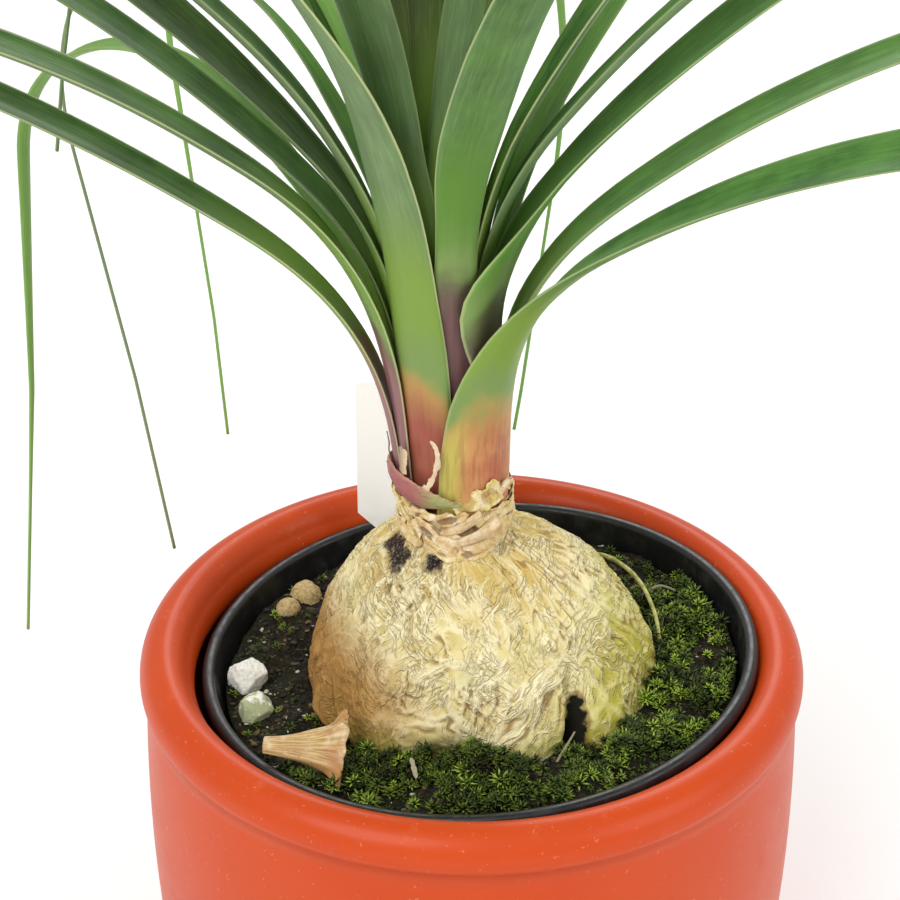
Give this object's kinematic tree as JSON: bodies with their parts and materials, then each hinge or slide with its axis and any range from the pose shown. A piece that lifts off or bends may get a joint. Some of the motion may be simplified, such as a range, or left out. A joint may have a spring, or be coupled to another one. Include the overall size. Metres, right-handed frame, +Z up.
{
  "type": "potted ponytail palm",
  "caption": "Young ponytail palm: round swollen trunk base and a fountain of narrow arching leaves, in a black nursery pot inside a round cover pot with a rolled lip.",
  "frame": {"origin": "centre of the cover pot's flat base", "axes": "+Z up; the pictured front, where the trunk's foot is cleft, faces -Y; +X is to the right as seen from the front"},
  "size_m": [0.6239, 0.4552, 0.4397],
  "materials": {
    "cover_pot": "satin, orange terracotta",
    "nursery_pot": "black, satin",
    "soil": "damp dark potting soil",
    "caudex": "rough corky bark, straw with olive",
    "dry_husk": "papery, dry, matte",
    "rosy_husk": "papery, pink-brown, matte",
    "leaf": "green, semi-gloss, lengthwise ribs",
    "label": "white, matte",
    "clay": "fired clay, matte",
    "pumice": "pale, porous",
    "root": "dry, yellowish"
  },
  "bodies": {
    "root": {"cover_pot": "cover_pot", "nursery_pot": "nursery_pot", "soil": "soil", "caudex": "caudex", "dry_sheath_collar": "dry_husk", "old_leaf_stub": "rosy_husk", "leaf_01": "leaf", "leaf_02": "leaf", "leaf_03": "leaf", "leaf_04": "leaf", "leaf_05": "leaf", "leaf_06": "leaf", "leaf_07": "leaf", "leaf_08": "leaf", "leaf_09": "leaf", "leaf_10": "leaf", "leaf_11": "leaf", "leaf_12": "leaf", "leaf_13": "leaf", "leaf_14": "leaf", "leaf_15": "leaf", "leaf_16": "leaf", "leaf_17": "leaf", "leaf_18": "leaf", "leaf_19": "leaf", "leaf_20": "leaf", "leaf_21": "leaf", "leaf_22": "leaf", "leaf_23": "leaf", "leaf_24": "leaf", "leaf_25": "leaf", "leaf_26": "leaf", "leaf_27": "leaf", "leaf_28": "leaf", "leaf_29": "leaf", "leaf_30": "leaf", "plant_label": "label", "clay_ball_1": "clay", "clay_ball_2": "clay", "pumice_1": "pumice", "pumice_2": "pumice", "dry_leaf_base": "dry_husk", "wiry_root": "root"}
  },
  "joints": []
}
